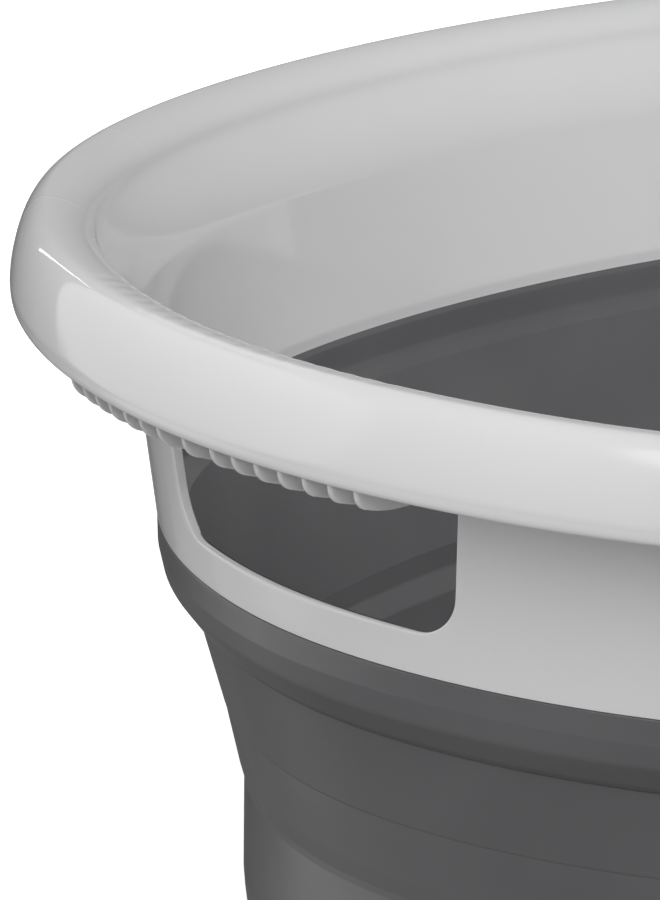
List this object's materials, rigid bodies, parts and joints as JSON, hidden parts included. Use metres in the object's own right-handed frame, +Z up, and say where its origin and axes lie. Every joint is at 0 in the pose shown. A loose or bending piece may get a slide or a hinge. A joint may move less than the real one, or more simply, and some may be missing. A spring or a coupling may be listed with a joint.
{
  "type": "foot spa basin",
  "caption": "Oval collapsible foot soak basin with a rolled handle rim, folding soft sleeve, massage rollers and a drain plug.",
  "frame": {"origin": "on the ground under the middle of the basin", "axes": "+X along the basin's length towards the drain end, +Y across it, +Z up"},
  "size_m": [0.54, 0.3406, 0.2035],
  "materials": {
    "collar_plastic": "white polypropylene, glossy on the rolled rim",
    "base_plastic": "white polypropylene, satin",
    "sleeve_elastomer": "grey soft elastomer, smooth satin",
    "roller_plastic": "grey moulded plastic",
    "drain_rubber": "grey rubber",
    "pad_rubber": "dark anti-slip rubber",
    "axle_steel": "plain stainless pin"
  },
  "bodies": {
    "base": {"base_tray": "base_plastic", "sleeve_ring_lower": "sleeve_elastomer", "sleeve_fold_lower": "sleeve_elastomer", "foot_pad_1": "pad_rubber", "foot_pad_2": "pad_rubber", "foot_pad_3": "pad_rubber", "foot_pad_4": "pad_rubber", "drain_seat": "drain_rubber", "roller_frame_left": "base_plastic", "roller_frame_right": "base_plastic", "axle_left_1": "axle_steel", "axle_left_2": "axle_steel", "axle_left_3": "axle_steel", "axle_left_4": "axle_steel", "axle_right_1": "axle_steel", "axle_right_2": "axle_steel", "axle_right_3": "axle_steel", "axle_right_4": "axle_steel"},
    "middle_ring": {"sleeve_ring_middle": "sleeve_elastomer", "sleeve_fold_middle": "sleeve_elastomer"},
    "upper_ring": {"sleeve_ring_upper": "sleeve_elastomer", "sleeve_fold_upper": "sleeve_elastomer"},
    "collar": {"upper_collar": "collar_plastic", "sleeve_cuff": "sleeve_elastomer"},
    "drain_plug": {"drain_plug": "drain_rubber"},
    "roller_left_1": {"roller_left_1": "roller_plastic"},
    "roller_left_2": {"roller_left_2": "roller_plastic"},
    "roller_left_3": {"roller_left_3": "roller_plastic"},
    "roller_left_4": {"roller_left_4": "roller_plastic"},
    "roller_right_1": {"roller_right_1": "roller_plastic"},
    "roller_right_2": {"roller_right_2": "roller_plastic"},
    "roller_right_3": {"roller_right_3": "roller_plastic"},
    "roller_right_4": {"roller_right_4": "roller_plastic"}
  },
  "joints": [
    {"name": "fold_lower", "type": "slide", "parent": "base", "child": "middle_ring", "axis": [0, 0, 1], "range_m": [-0.0342, 0], "deforming": ["sleeve_fold_lower"]},
    {"name": "fold_middle", "type": "slide", "parent": "middle_ring", "child": "upper_ring", "axis": [0, 0, 1], "range_m": [-0.0342, 0], "deforming": ["sleeve_fold_middle"]},
    {"name": "fold_upper", "type": "slide", "parent": "upper_ring", "child": "collar", "axis": [0, 0, 1], "range_m": [-0.033, 0], "deforming": ["sleeve_fold_upper"]},
    {"name": "plug_pull", "type": "slide", "parent": "base", "child": "drain_plug", "axis": [0, 0, 1], "range_m": [0, 0.05]},
    {"name": "roller_left_1_spin", "type": "hinge", "parent": "base", "child": "roller_left_1", "pos_m": [-0.0465, 0.046, 0.021], "axis": [0, 1, 0], "continuous": true},
    {"name": "roller_left_2_spin", "type": "hinge", "parent": "base", "child": "roller_left_2", "pos_m": [-0.0155, 0.046, 0.021], "axis": [0, 1, 0], "continuous": true},
    {"name": "roller_left_3_spin", "type": "hinge", "parent": "base", "child": "roller_left_3", "pos_m": [0.0155, 0.046, 0.021], "axis": [0, 1, 0], "continuous": true},
    {"name": "roller_left_4_spin", "type": "hinge", "parent": "base", "child": "roller_left_4", "pos_m": [0.0465, 0.046, 0.021], "axis": [0, 1, 0], "continuous": true},
    {"name": "roller_right_1_spin", "type": "hinge", "parent": "base", "child": "roller_right_1", "pos_m": [-0.0465, -0.046, 0.021], "axis": [0, 1, 0], "continuous": true},
    {"name": "roller_right_2_spin", "type": "hinge", "parent": "base", "child": "roller_right_2", "pos_m": [-0.0155, -0.046, 0.021], "axis": [0, 1, 0], "continuous": true},
    {"name": "roller_right_3_spin", "type": "hinge", "parent": "base", "child": "roller_right_3", "pos_m": [0.0155, -0.046, 0.021], "axis": [0, 1, 0], "continuous": true},
    {"name": "roller_right_4_spin", "type": "hinge", "parent": "base", "child": "roller_right_4", "pos_m": [0.0465, -0.046, 0.021], "axis": [0, 1, 0], "continuous": true}
  ]
}
